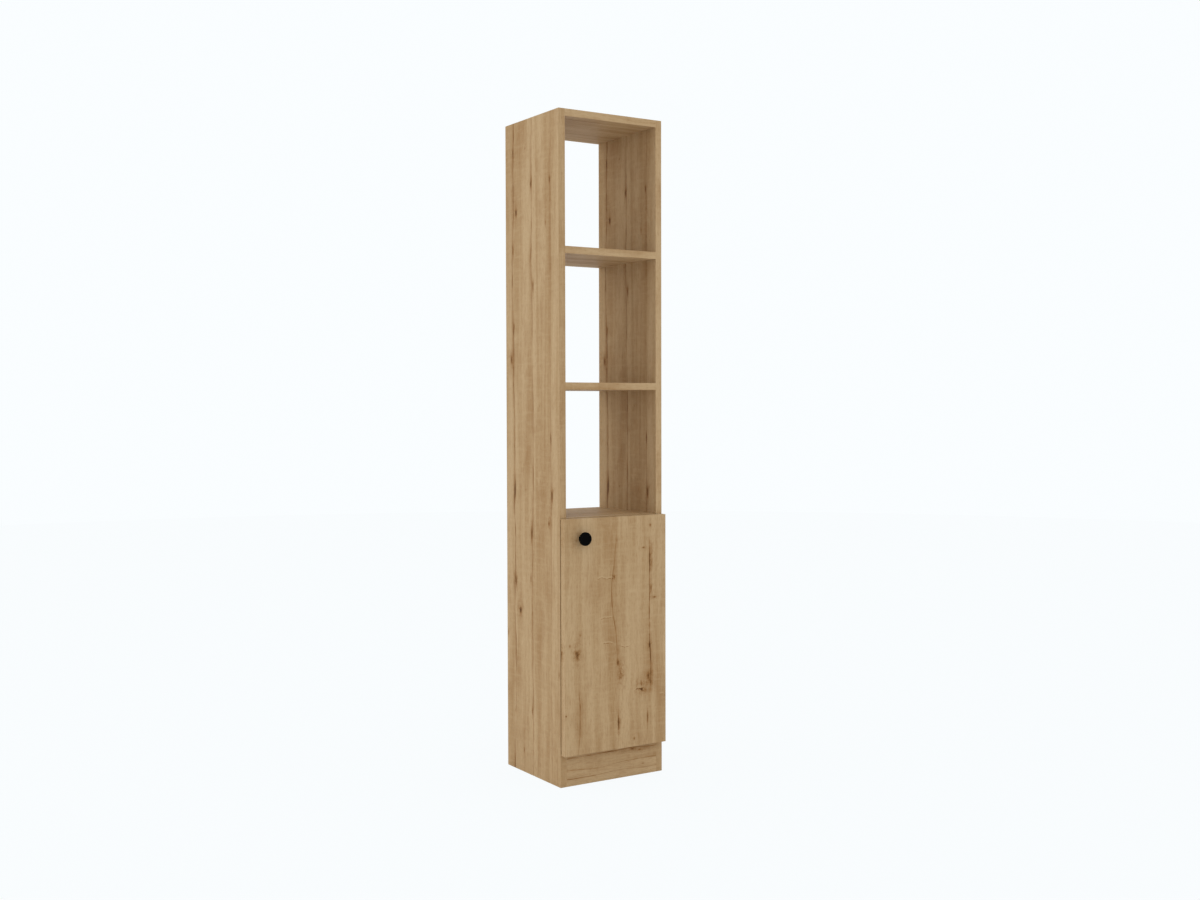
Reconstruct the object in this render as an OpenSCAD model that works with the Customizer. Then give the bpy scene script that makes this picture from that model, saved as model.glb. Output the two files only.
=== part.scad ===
// Tall, narrow bathroom cabinet: three open compartments over a cupboard with one hinged door.
// X runs along the width, -Y is the front, Z is up, and the origin is the centre of the footprint.
// The footprint is taken over everything, from the knob's face to the carcass's rear edge.

/* [Cabinet] */
// Overall width of the carcass
cabinet_w = 310; // [280:1:420]
// Overall height of the carcass, without the wall brackets
cabinet_h = 1700; // [1600:1:1900]
// Depth of the carcass from its front edges to its rear edges
cabinet_d = 275; // [240:1:340]
// Thickness of every board
board_t = 18; // [16:1:20]
// Thickness of the edging strips
edging_t = 1; // [0.4:0.1:2]
// Clear height of each open compartment
open_h = 322; // [290:1:330]
// Number of open compartments above the cupboard
open_count = 3; // [3]
// Height of the plinth board
plinth_h = 80; // [50:1:110]

/* [Cupboard] */
// Thickness of the cupboard's back panel
back_t = 3; // [2.5:0.5:5]
// Depth of the groove that holds the back panel
back_groove = 6; // [4:0.5:8]
// Distance from the rear edges to the back panel
back_inset = 10; // [6:1:20]
// Gap between the inner shelf and each side
inner_shelf_gap = 0.7; // [0.4:0.1:2]
// Distance from the front edges to the inner shelf
inner_shelf_setback = 24; // [20:1:60]
// Height of the inner shelf's underside above the cupboard floor
inner_shelf_z = 273; // [230:1:300]
// Diameter of the shelf pins
pin_d = 5; // [4:0.5:6]
// Depth of the shelf pin holes
pin_hole_depth = 9; // [7:0.5:11]
// Spacing of the shelf pin holes
pin_pitch = 32; // [25:1:40]
// Distance from the inner shelf's long edges to its pins
pin_inset = 37; // [30:1:60]
// Gap between the inner shelf and the back panel
inner_shelf_back_gap = 2; // [1:0.5:10]

/* [Door] */
// Gap between the door and the carcass's front edges
door_gap = 2; // [1.5:0.5:3]
// Distance from the side's outer face to the door's edge
door_reveal = 1.5; // [1:0.5:3]
// Distance from the door's lower edge to the plinth's top
door_lift = 2; // [1:0.5:4]
// Diameter of the knob's head
knob_d = 34; // [24:1:40]
// Distance from the door's face to the knob's face
knob_projection = 21; // [18:1:30]
// Diameter of the knob's neck
knob_neck_d = 14; // [10:1:18]
// Distance from the door's free edge to the knob's axis
knob_from_edge = 50; // [30:1:70]
// Distance from the door's top edge to the knob's axis
knob_from_top = 50; // [30:1:70]
// Diameter of the door bumpers
bumper_d = 8; // [6:0.5:10]

/* [Hinges] */
// Distance from the door's top and bottom edges to the hinges
hinge_from_end = 100; // [80:1:120]
// Diameter of the cup
cup_d = 35; // [35]
// Depth of the cup
cup_depth = 11.5; // [11:0.5:12.5]
// Wood left between the cup and the door's edge
cup_edge = 4; // [4]
// Distance from the front edges to the mounting plate's screws
plate_setback = 37; // [37]
// Distance between the mounting plate's screws
plate_pitch = 32; // [32]
// Distance between the cup's screws
cup_pitch = 48; // [44:1:52]

/* [Fittings] */
// Diameter of the cam locks
cam_d = 15; // [12:1:15]
// Depth of the cam locks
cam_depth = 12.5; // [12:0.5:13]
// Distance from a board's end to its cam's axis
cam_inset = 34; // [24:1:40]
// Distance from a board's long edges to its cams
cam_setback = 42; // [35:1:60]
// Diameter of the dowels
dowel_d = 8; // [6:1:8]
// Length of the dowels
dowel_l = 30; // [25:1:35]
// Distance from the cabinet's outer faces to the middles of the wall brackets
bracket_inset = 75; // [70:1:110]
// Diameter of the hole for a wall screw
wall_hole_d = 5; // [4:0.5:6]
// Height of the wall bracket's upright leg
bracket_h = 24; // [20:1:30]

/* [Hidden] */
$fn = 48;

wood = [0.70, 0.60, 0.45];
wood_dark = [0.62, 0.51, 0.37];
hardboard = [0.88, 0.88, 0.86];
black = [0.05, 0.05, 0.05];
steel = [0.75, 0.75, 0.76];
zinc = [0.62, 0.63, 0.64];
beech = [0.80, 0.68, 0.50];
clear_grey = [0.85, 0.86, 0.88];

// Clearances: between a fitting and its hole, at a running pivot, and between free faces
fit = 0.1;
running = 0.1;
free = 0.3;
// Extra length of a cut past a face
past = 1;
// Width of a bar as a share of its round ends, so that they cross and don't just touch
slim = 0.98;
// Room left ahead of a screw's tip or a peg's end in its hole
tip_room = 1;

// Planes of the carcass
half_w = cabinet_w / 2;
inner_x = half_w - board_t;
overall_d = cabinet_d + door_gap + board_t + knob_projection;
rear_y = overall_d / 2;
front_y = rear_y - cabinet_d;
board_y = front_y + edging_t;
open_pitch = open_h + board_t;
top_z = cabinet_h - board_t;
shelf_z = [for (i = [1:open_count]) top_z - i * open_pitch];
cupboard_top_z = shelf_z[open_count - 1];
cupboard_floor_z = plinth_h;
cupboard_z = cupboard_floor_z + board_t;
fixed_z = concat([top_z], shelf_z, [cupboard_floor_z]);
inner_shelf_base = cupboard_z + inner_shelf_z;

// Back panel and its groove
back_y = rear_y - back_inset - back_t;
groove_t = back_t + 2 * fit;
groove_y = back_y - fit;

// Inner shelf, its pins and their holes
inner_shelf_w = 2 * (inner_x - inner_shelf_gap);
inner_shelf_y = front_y + inner_shelf_setback;
inner_shelf_d = back_y - inner_shelf_back_gap - inner_shelf_y;
pin_y = [inner_shelf_y + pin_inset, inner_shelf_y + inner_shelf_d - pin_inset];
spade_t = 2;
spade_l = 8;
spade_w = 7;
pin_z = inner_shelf_base - spade_t;
pin_axis_z = pin_z + (pin_d - spade_t) / 2;
// How far a pin's peg starts inside its spade
pin_overlap = 0.6;

// Door, its edging, knob and bumpers
door_w = cabinet_w - 2 * door_reveal;
door_bottom = plinth_h + door_lift;
door_top = cupboard_top_z + board_t - door_reveal;
door_rear = front_y - door_gap;
door_front = door_rear - board_t;
knob_x = -door_w / 2 + knob_from_edge;
knob_z = door_top - knob_from_top;
knob_rim_t = 6;
knob_rim_r = 2;
knob_foot = 1.5;
knob_flare = 5;
knob_bore_l = 12.6;
knob_screw_d = 4;
knob_screw_reach = 10.5;
bumper_slack = 0.2;
bumper_t = door_gap - bumper_slack;
bumper_inset = 25;

// Screw heads: a rim, a cone up to a flat top, and a cross recess
screw_head_d = 8;
screw_head_t = 2;
small_head_d = 7;
small_head_t = 1.6;
head_rim = 0.35;
head_top = 0.3;
recess_w = 0.8;
recess_reach = 0.45;
recess_depth = 0.45;

// Cup hinge, in plan. Its own coordinates start at the side's inner face and the front edges:
// x grows towards the side's outer face and y towards the cabinet's rear.
hinge_x = inner_x;
hinge_z = [door_top - hinge_from_end, door_bottom + hinge_from_end];
outer_arm_pivot = [-5, 5];
outer_cup_pivot = [8.5, -7.5];
inner_arm_pivot = [-16, -6];
inner_cup_pivot = [3, -7.5];
pivot_r = 1.1;
eye_r = 2.3;
// How far the open pivot strays from its place on the cup while the door swings
open_pivot_stray = 1.75;
link_t = 2.6;
outer_link_bends = [[-5.4, -6.1], [-1.7, -10.9], [4.4, -10.8]];
inner_link_bend = [-7, -9];
// Layers of the hinge above and below its middle
outer_link_half = 4;
inner_plate = [4.4, 5.9];
arm_flange = [6.4, 7.6];
pocket_half = 8.2;
outer_pin_half = 10.2;
inner_pin_half = 11.2;
cup_wall = 0.7;
cup_floor = 0.7;
cup_x = board_t - door_reveal - cup_edge - cup_d / 2;
wing_t = 1.2;
wing_r = 7;
cup_screw_offset = 6;
cup_screw_x = cup_x - cup_screw_offset;
cup_screw_d = 3.5;
cup_screw_l = 11;
nose_r = 3;
nose_blend = 10;
nose_lean = 27;
// How far a pivot pin stands out of the arm's flanges
pin_proud = 0.2;
arm_x = [-12.5, -2.5];
arm_y = [8, 62];
steel_t = 1.2;
plate_bar_half = 5.6;
plate_bar_y = [20, 60];
plate_wing_t = 2.2;
plate_wing_r = 7;
plate_screw_d = 4.5;
plate_screw_l = 11;
arm_screw_y = [28, 51];
arm_screw_d = 4;
arm_screw_l = 7;

// Cam lock set
bolt_d = 5;
bolt_thread_l = 11;
bolt_head_d = 6.6;
bolt_head_l = 3;
cam_slot = 7.2;
bolt_way_d = 7;
dowel_in_side = 12;
cam_y = [front_y + cam_setback, rear_y - cam_setback];
dowel_y = (cam_y[0] + cam_y[1]) / 2;
cross_w = 1.2;
cross_reach = 0.3;
cross_depth = 1.4;
// Heights of the plinth's cam and dowel as shares of its own
plinth_cam_share = 0.62;
plinth_dowel_share = 0.25;
plinth_cam_z = plinth_h * plinth_cam_share;
plinth_dowel_z = plinth_h * plinth_dowel_share;
plinth_mid_y = front_y + board_t / 2;

// Wall bracket
bracket_l = 40;
bracket_w = 20;
bracket_t = 2;
bracket_x = half_w - bracket_inset;
bracket_hole_inset = 15;
bracket_hole_pitch = 16;
bracket_hole_y = [rear_y - bracket_hole_inset, rear_y - bracket_hole_inset - bracket_hole_pitch];
bracket_screw_d = 3.5;
bracket_screw_l = 14;
// Height of the wall screw's hole as a share of the upright leg
wall_hole_share = 0.6;
wall_hole_z = cabinet_h + bracket_h * wall_hole_share;

// Shared shapes

module box(from, to) {
  translate(from) cube(to - from);
}

// Straight bar from p to q, a hair slimmer than the circles of radius r at its ends
module stem(p, q, r) {
  d = q - p;
  translate(p) rotate(atan2(d[1], d[0])) translate([0, -r * slim]) square([norm(d), 2 * r * slim]);
}

// Straight bar with round ends, in plan
module bar(p, q, r) {
  stem(p, q, r);
  for (end = [p, q]) translate(end) circle(r);
}

// Chain of bars through a list of points
module chain(points, r) {
  for (i = [0:len(points) - 2]) stem(points[i], points[i + 1], r);
  for (p = points) translate(p) circle(r);
}

// A layer between two heights, drawn above and below the hinge's middle
module both_layers(low, high) {
  for (s = [0, 1]) mirror([0, 0, s]) translate([0, 0, low]) linear_extrude(high - low) children();
}

module middle_layer(half) {
  translate([0, 0, -half]) linear_extrude(2 * half) children();
}

// Rod along Z through a plan point, centred on the hinge's middle
module rod(p, r, half) {
  translate([p[0], p[1], -half]) cylinder(r = r, h = 2 * half);
}

// Rod along X from x0 to x1
module rod_x(x0, x1, y, z, r) {
  translate([x0, y, z]) rotate([0, 90, 0]) cylinder(r = r, h = x1 - x0);
}

// Rod along Y from y0 to y1
module rod_y(x, y0, y1, z, r) {
  translate([x, y0, z]) rotate([-90, 0, 0]) cylinder(r = r, h = y1 - y0);
}

// Places a hinge part at hinge number i
module at_hinge(i) {
  translate([hinge_x, front_y, hinge_z[i]]) children();
}

// Cam locks and dowels: the face that a board's cams are set in is up or down
function cams_face_up(z) = z > cupboard_top_z + 1;

// Everything that joins one board end to a side, mirrored to both ends.
// kind picks the cams, bolts or dowels, and grow is added to their radius for a hole.
module end_fittings(kind, grow = 0) {
  for (s = [0, 1]) mirror([s, 0, 0]) {
    for (z = fixed_z) {
      mid = z + board_t / 2;
      up = cams_face_up(z) ? 1 : -1;
      for (y = cam_y) translate([inner_x, y, mid]) scale_z(up) cam_set(kind, grow);
      if (kind == "dowel") dowel_at(dowel_y, mid, grow);
    }
    translate([inner_x, plinth_mid_y, plinth_cam_z]) rotate([-90, 0, 0]) cam_set(kind, grow);
    if (kind == "dowel") dowel_at(plinth_mid_y, plinth_dowel_z, grow);
  }
}

module scale_z(up) {
  if (up > 0) children();
  else mirror([0, 0, 1]) children();
}

module dowel_at(y, z, grow) {
  x0 = inner_x - (dowel_l - dowel_in_side) - grow * 2;
  rod_x(x0, inner_x + dowel_in_side + grow * 2, y, z, dowel_d / 2 + grow);
}

// One cam and its bolt about a point on the board's end; the cam opens on the +Z face
module cam_set(kind, grow) {
  surface = board_t / 2;
  if (kind == "cam")
    difference() {
      translate([-cam_inset, 0, surface - cam_depth - grow])
        cylinder(r = cam_d / 2 + grow, h = cam_depth + grow + (grow > 0 ? past : 0));
      if (grow == 0) {
        box([-cam_inset - cam_slot / 2, -cam_slot / 2, -cam_depth],
            [-cam_inset + cam_d, cam_slot / 2, cam_slot / 2]);
        for (a = [0, 90]) translate([-cam_inset, 0, surface]) rotate(a)
          box([-cam_d * cross_reach, -cross_w / 2, -cross_depth], [cam_d * cross_reach, cross_w / 2, past]);
      }
    }
  if (kind == "bolt") {
    end = bolt_thread_l + (grow > 0 ? grow : 0);
    rod_x(-cam_inset, end, 0, 0, bolt_d / 2 + grow);
    if (grow > 0) rod_x(-cam_inset, 0, 0, 0, bolt_way_d / 2);
    else rod_x(-cam_inset - bolt_head_l / 2, -cam_inset + bolt_head_l / 2, 0, 0, bolt_head_d / 2);
  }
}

module pin_holes() {
  for (y = pin_y, i = [-1:1])
    rod_x(inner_x - past, inner_x + pin_hole_depth, y, pin_axis_z + i * pin_pitch, pin_d / 2);
}

// Boards

module side_board() {
  difference() {
    box([inner_x, board_y, 0], [half_w, rear_y, cabinet_h]);
    box([inner_x - past, groove_y, cupboard_z - back_groove],
        [inner_x + back_groove, groove_y + groove_t, cupboard_top_z + back_groove]);
    end_fittings("bolt", fit);
    end_fittings("dowel", fit);
    pin_holes();
  }
}

module left_side() {
  color(wood) mirror([1, 0, 0]) side_board();
}

module right_side() {
  color(wood) difference() {
    side_board();
    for (i = [0, 1], s = [-1, 1]) at_hinge(i)
      rod_x(-past, plate_screw_l + fit, plate_setback, s * plate_pitch / 2, plate_screw_d / 2 + fit);
  }
}

module fixed_board(z) {
  difference() {
    box([-inner_x, board_y, z], [inner_x, rear_y, z + board_t]);
    end_fittings("cam", fit);
    end_fittings("bolt", fit);
    end_fittings("dowel", fit);
  }
}

module top_panel() {
  color(wood_dark) difference() {
    fixed_board(top_z);
    for (s = [-1, 1], y = bracket_hole_y)
      translate([s * bracket_x, y, cabinet_h - bracket_screw_l - fit])
        cylinder(r = bracket_screw_d / 2 + fit, h = bracket_screw_l + past);
  }
}

module upper_shelf() {
  color(wood_dark) fixed_board(shelf_z[0]);
}

module lower_shelf() {
  color(wood_dark) fixed_board(shelf_z[1]);
}

// Groove for the back panel, cut from a board's face at height z towards up
module board_groove(z, up) {
  z0 = up > 0 ? z - past : z - back_groove;
  z1 = up > 0 ? z + back_groove : z + past;
  box([-inner_x - past, groove_y, z0], [inner_x + past, groove_y + groove_t, z1]);
}

module cupboard_top() {
  color(wood_dark) difference() {
    fixed_board(cupboard_top_z);
    board_groove(cupboard_top_z, 1);
  }
}

module cupboard_floor() {
  color(wood_dark) difference() {
    fixed_board(cupboard_floor_z);
    board_groove(cupboard_z, -1);
  }
}

module plinth() {
  color(wood) difference() {
    box([-inner_x, front_y, 0], [inner_x, front_y + board_t, plinth_h]);
    end_fittings("cam", fit);
    end_fittings("bolt", fit);
    end_fittings("dowel", fit);
  }
}

module cupboard_back() {
  reach = back_groove - free;
  color(hardboard) box([-inner_x - reach, back_y, cupboard_z - reach],
                       [inner_x + reach, back_y + back_t, cupboard_top_z + reach]);
}

module inner_shelf() {
  color(wood_dark) box([-inner_shelf_w / 2, inner_shelf_y + edging_t, inner_shelf_base],
                       [inner_shelf_w / 2, inner_shelf_y + inner_shelf_d, inner_shelf_base + board_t]);
}

// Edging strips

module side_edging() {
  color(wood) for (s = [0, 1]) mirror([s, 0, 0])
    box([inner_x, front_y, 0], [half_w, board_y, cabinet_h]);
}

module edging_strip(z) {
  box([-inner_x, front_y, z], [inner_x, board_y, z + board_t]);
}

module top_edging() {
  color(wood) edging_strip(top_z);
}

module shelf_edging() {
  color(wood) for (i = [0:open_count - 2]) edging_strip(shelf_z[i]);
}

module cupboard_edging() {
  color(wood) for (z = [cupboard_top_z, cupboard_floor_z]) edging_strip(z);
}

module inner_shelf_edging() {
  color(wood) box([-inner_shelf_w / 2, inner_shelf_y, inner_shelf_base],
                  [inner_shelf_w / 2, inner_shelf_y + edging_t, inner_shelf_base + board_t]);
}

// Fittings

// Pin with a collar and a flat spade that the inner shelf lies on
module shelf_pins() {
  color(steel) for (s = [0, 1]) mirror([s, 0, 0]) for (y = pin_y) {
    rod_x(inner_x - pin_overlap, inner_x + pin_hole_depth - tip_room, y, pin_axis_z, pin_d / 2 - fit);
    box([inner_x - spade_l, y - spade_w / 2, pin_z], [inner_x, y + spade_w / 2, inner_shelf_base]);
  }
}

module cam_locks() {
  color(zinc) end_fittings("cam");
}

module cam_bolts() {
  color(steel) end_fittings("bolt");
}

module dowels() {
  color(beech) end_fittings("dowel");
}

module wall_brackets() {
  color(steel) for (s = [-1, 1]) translate([s * bracket_x, 0, 0]) difference() {
    union() {
      box([-bracket_w / 2, rear_y - bracket_l, cabinet_h], [bracket_w / 2, rear_y, cabinet_h + bracket_t]);
      box([-bracket_w / 2, rear_y - bracket_t, cabinet_h], [bracket_w / 2, rear_y, cabinet_h + bracket_h]);
    }
    for (y = bracket_hole_y) translate([0, y, cabinet_h - past])
      cylinder(r = bracket_screw_d / 2 + fit, h = bracket_t + 2 * past);
    rod_y(0, rear_y - bracket_t - past, rear_y + past, wall_hole_z, wall_hole_d / 2);
  }
}

// Screw along -Z: its head sits on z = 0
module screw(d, l, head_d, head_t) {
  translate([0, 0, -l]) cylinder(r = d / 2, h = l + head_t / 2);
  difference() {
    rotate_extrude() polygon([[0, 0], [head_d / 2, 0], [head_d / 2, head_t * head_rim],
                              [head_d * head_top, head_t], [0, head_t]]);
    for (a = [0, 90]) rotate(a)
      box([-head_d * recess_reach / 2, -recess_w / 2, head_t * (1 - recess_depth)],
          [head_d * recess_reach / 2, recess_w / 2, head_t + past]);
  }
}

module wall_bracket_screws() {
  color(steel) for (s = [-1, 1], y = bracket_hole_y)
    translate([s * bracket_x, y, cabinet_h + bracket_t])
      screw(bracket_screw_d, bracket_screw_l + bracket_t - tip_room, small_head_d, screw_head_t);
}

// Cup hinge

// Mounting plate: a tall wing with two screw holes, and the bar that carries the arm
module hinge_plate() {
  difference() {
    union() {
      translate([-plate_wing_t, plate_setback, 0]) rotate([0, 90, 0]) linear_extrude(plate_wing_t)
        bar([-plate_pitch / 2, 0], [plate_pitch / 2, 0], plate_wing_r);
      box([arm_x[0] + steel_t, plate_bar_y[0], -plate_bar_half], [0, plate_bar_y[1], plate_bar_half]);
    }
    for (s = [-1, 1])
      rod_x(-plate_wing_t - past, past, plate_setback, s * plate_pitch / 2, plate_screw_d / 2 + fit);
    for (y = arm_screw_y)
      rod_x(arm_x[0], arm_x[0] + steel_t + arm_screw_l, y, 0, arm_screw_d / 2 + fit);
  }
}

module upper_hinge_plate() {
  color(steel) at_hinge(0) hinge_plate();
}

module lower_hinge_plate() {
  color(steel) at_hinge(1) hinge_plate();
}

module hinge_plate_screws() {
  color(steel) for (i = [0, 1], s = [-1, 1]) at_hinge(i)
    translate([-plate_wing_t, plate_setback, s * plate_pitch / 2]) rotate([0, -90, 0])
      screw(plate_screw_d, plate_wing_t + plate_screw_l - tip_room, screw_head_d, screw_head_t);
}

// Side flange of the arm in plan: the straight body and the nose that carries both arm pivots
module arm_flange_plan() {
  translate([arm_x[0], arm_y[0]]) square([arm_x[1] - arm_x[0], arm_y[1] - arm_y[0]]);
  bar(outer_arm_pivot, inner_arm_pivot, nose_r);
  polygon([[arm_x[0], arm_y[0] + nose_blend], [arm_x[1], arm_y[0] + nose_blend],
           outer_arm_pivot + [nose_r, 0], outer_arm_pivot, inner_arm_pivot,
           inner_arm_pivot + nose_r * [-cos(nose_lean), sin(nose_lean)]]);
}

module arm_web_plan() {
  translate([arm_x[0], arm_y[0]]) square([steel_t, arm_y[1] - arm_y[0]]);
}

module hinge_arm() {
  difference() {
    union() {
      both_layers(arm_flange[0], arm_flange[1]) arm_flange_plan();
      middle_layer(arm_flange[1]) arm_web_plan();
    }
    rod(outer_arm_pivot, pivot_r + fit / 2, arm_flange[1] + past);
    rod(inner_arm_pivot, pivot_r + fit / 2, arm_flange[1] + past);
    for (y = arm_screw_y)
      rod_x(arm_x[0] - past, arm_x[0] + steel_t + past, y, 0, arm_screw_d / 2 + fit);
  }
}

module upper_hinge_arm() {
  color(steel) at_hinge(0) hinge_arm();
}

module lower_hinge_arm() {
  color(steel) at_hinge(1) hinge_arm();
}

module hinge_arm_screws() {
  color(steel) for (i = [0, 1], y = arm_screw_y) at_hinge(i)
    translate([arm_x[0], y, 0]) rotate([0, -90, 0])
      screw(arm_screw_d, arm_screw_l, screw_head_d, screw_head_t);
}

module hinge_arm_pins() {
  color(steel) for (i = [0, 1]) at_hinge(i) for (p = [outer_arm_pivot, inner_arm_pivot])
    rod(p, pivot_r, arm_flange[1] + pin_proud);
}

// Outer link: the strap that reaches round the cup's rim when the door is open
module outer_link() {
  difference() {
    middle_layer(outer_link_half) {
      chain(concat([outer_arm_pivot], outer_link_bends, [outer_cup_pivot]), link_t / 2);
      translate(outer_arm_pivot) circle(eye_r);
      translate(outer_cup_pivot) circle(eye_r);
    }
    rod(outer_arm_pivot, pivot_r + running, outer_link_half + past);
    rod(outer_cup_pivot, pivot_r + running, outer_link_half + past);
  }
}

module upper_outer_link() {
  color(steel) at_hinge(0) outer_link();
}

module lower_outer_link() {
  color(steel) at_hinge(1) outer_link();
}

// Inner link: two plates on one tube, each with a stub that rides in the cup's cheek
module inner_link() {
  difference() {
    union() {
      both_layers(inner_plate[0], inner_plate[1]) {
        chain([inner_arm_pivot, inner_link_bend, inner_cup_pivot], link_t / 2);
        translate(inner_cup_pivot) circle(eye_r);
      }
      rod(inner_arm_pivot, eye_r, inner_plate[1]);
      both_layers(inner_plate[1], inner_pin_half) translate(inner_cup_pivot) circle(pivot_r);
    }
    rod(inner_arm_pivot, pivot_r + running, inner_plate[1] + past);
  }
}

module upper_inner_link() {
  color(steel) at_hinge(0) inner_link();
}

module lower_inner_link() {
  color(steel) at_hinge(1) inner_link();
}

// Shape along -Y from the door's rear face, drawn in X and Z about the cup's centre
module from_rear(depth, lift = 0) {
  translate([cup_x, -door_gap + lift, 0]) rotate([90, 0, 0]) linear_extrude(depth + lift) children();
}

module hinge_cup() {
  stub_r = pivot_r + open_pivot_stray + fit;
  difference() {
    union() {
      from_rear(cup_depth) circle(cup_d / 2, $fn = 72);
      from_rear(0, wing_t)
        bar([cup_screw_x - cup_x, -cup_pitch / 2], [cup_screw_x - cup_x, cup_pitch / 2], wing_r);
    }
    from_rear(cup_depth - cup_floor, wing_t + past) intersection() {
      circle(cup_d / 2 - cup_wall, $fn = 72);
      square([cup_d, 2 * pocket_half], center = true);
    }
    both_layers(pocket_half - past, outer_pin_half + fit)
      translate(outer_cup_pivot) circle(pivot_r + fit / 2);
    both_layers(pocket_half - past, inner_pin_half + free) translate(inner_cup_pivot) circle(stub_r);
    for (s = [-1, 1])
      rod_y(cup_screw_x, -door_gap - past, -door_gap + wing_t + past, s * cup_pitch / 2,
            cup_screw_d / 2 + fit);
  }
}

module upper_hinge_cup() {
  color(steel) at_hinge(0) hinge_cup();
}

module lower_hinge_cup() {
  color(steel) at_hinge(1) hinge_cup();
}

module hinge_cup_screws() {
  color(steel) for (i = [0, 1], s = [-1, 1]) at_hinge(i)
    translate([cup_screw_x, -door_gap + wing_t, s * cup_pitch / 2]) rotate([-90, 0, 0])
      screw(cup_screw_d, wing_t + cup_screw_l - tip_room, small_head_d, small_head_t);
}

module hinge_cup_pins() {
  color(steel) for (i = [0, 1]) at_hinge(i) rod(outer_cup_pivot, pivot_r, outer_pin_half);
}

// Door

module door_panel() {
  color(wood) difference() {
    box([-door_w / 2 + edging_t, door_front, door_bottom + edging_t],
        [door_w / 2 - edging_t, door_rear, door_top - edging_t]);
    for (i = [0, 1]) at_hinge(i) {
      from_rear(cup_depth + fit, past) circle(cup_d / 2 + fit, $fn = 72);
      for (s = [-1, 1])
        rod_y(cup_screw_x, -door_gap - cup_screw_l, -door_gap + past, s * cup_pitch / 2,
              cup_screw_d / 2 + fit);
    }
    rod_y(knob_x, door_front - past, door_rear + past, knob_z, knob_screw_d / 2 + fit);
  }
}

module door_edging() {
  color(wood) difference() {
    box([-door_w / 2, door_front, door_bottom], [door_w / 2, door_rear, door_top]);
    box([-door_w / 2 + edging_t, door_front - past, door_bottom + edging_t],
        [door_w / 2 - edging_t, door_rear + past, door_top - edging_t]);
  }
}

// Mushroom knob, turned about its axis and bored for its screw
module knob() {
  head_r = knob_d / 2;
  neck_r = knob_neck_d / 2;
  rim_z = knob_projection - knob_rim_t;
  face_r = head_r - knob_rim_r;
  color(black) translate([knob_x, door_front, knob_z]) rotate([90, 0, 0]) difference() {
    rotate_extrude($fn = 96) difference() {
      union() {
        square([neck_r + knob_foot, knob_foot]);
        square([neck_r, rim_z]);
        polygon([[0, rim_z - knob_flare], [neck_r, rim_z - knob_flare], [face_r, rim_z],
                 [face_r, rim_z + knob_rim_r], [0, rim_z + knob_rim_r]]);
        translate([0, rim_z]) square([face_r, knob_rim_t]);
        translate([0, rim_z + knob_rim_r]) square([head_r, knob_rim_t - 2 * knob_rim_r]);
        for (h = [rim_z + knob_rim_r, knob_projection - knob_rim_r])
          translate([face_r, h]) circle(knob_rim_r);
      }
      translate([-head_r, 0]) square([head_r, knob_projection]);
    }
    translate([0, 0, -past]) cylinder(r = knob_screw_d / 2 + fit, h = knob_bore_l + past);
  }
}

module knob_screw() {
  color(steel) translate([knob_x, door_rear, knob_z]) rotate([-90, 0, 0])
    screw(knob_screw_d, board_t + knob_screw_reach, screw_head_d, screw_head_t);
}

module door_bumpers() {
  x = -half_w + board_t / 2;
  color(clear_grey) for (z = [door_bottom + bumper_inset, door_top - bumper_inset])
    rod_y(x, door_rear, door_rear + bumper_t, z, bumper_d / 2);
}

left_side();
right_side();
top_panel();
upper_shelf();
lower_shelf();
cupboard_top();
cupboard_floor();
plinth();
cupboard_back();
inner_shelf();
side_edging();
top_edging();
shelf_edging();
cupboard_edging();
inner_shelf_edging();
shelf_pins();
cam_locks();
cam_bolts();
dowels();
wall_brackets();
wall_bracket_screws();
upper_hinge_plate();
lower_hinge_plate();
hinge_plate_screws();
upper_hinge_arm();
lower_hinge_arm();
hinge_arm_screws();
hinge_arm_pins();
upper_outer_link();
lower_outer_link();
upper_inner_link();
lower_inner_link();
door_panel();
door_edging();
knob();
knob_screw();
door_bumpers();
upper_hinge_cup();
lower_hinge_cup();
hinge_cup_screws();
hinge_cup_pins();
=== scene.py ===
"""Finishes and studio for a tall open-backed bathroom cabinet in knotty oak decor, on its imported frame."""

import math

import bpy
from bpy.props import FloatProperty, FloatVectorProperty, PointerProperty
from mathutils import Matrix, Vector


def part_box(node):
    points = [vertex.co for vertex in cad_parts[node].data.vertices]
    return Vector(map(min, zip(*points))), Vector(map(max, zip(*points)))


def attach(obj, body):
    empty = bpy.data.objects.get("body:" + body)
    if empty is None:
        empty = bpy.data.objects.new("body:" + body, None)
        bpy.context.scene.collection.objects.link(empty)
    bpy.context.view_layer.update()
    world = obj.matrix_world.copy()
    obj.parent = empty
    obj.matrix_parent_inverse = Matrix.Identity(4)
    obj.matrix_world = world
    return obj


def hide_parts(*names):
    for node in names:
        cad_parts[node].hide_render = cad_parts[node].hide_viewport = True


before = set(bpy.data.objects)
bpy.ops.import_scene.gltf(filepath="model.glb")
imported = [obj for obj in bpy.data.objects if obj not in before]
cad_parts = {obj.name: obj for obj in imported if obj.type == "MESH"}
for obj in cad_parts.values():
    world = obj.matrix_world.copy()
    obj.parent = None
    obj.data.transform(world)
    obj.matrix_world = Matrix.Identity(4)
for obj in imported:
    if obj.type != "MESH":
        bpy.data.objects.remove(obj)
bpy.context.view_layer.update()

bl_info = {
    "name": "Knotty oak bathroom cabinet",
    "version": (1, 0, 0),
    "blender": (4, 5, 0),
    "location": "View3D > Sidebar > Cabinet",
    "description": "Dresses the cabinet's boards, door, knob and fittings and sets up its studio",
    "category": "Object",
}

# Board planes taken from the frame, in metres
SIDE_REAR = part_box("left_side")[1].y
DOOR_LOW, DOOR_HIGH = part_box("door_edging")
KNOB_LOW, KNOB_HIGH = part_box("knob")

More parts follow.
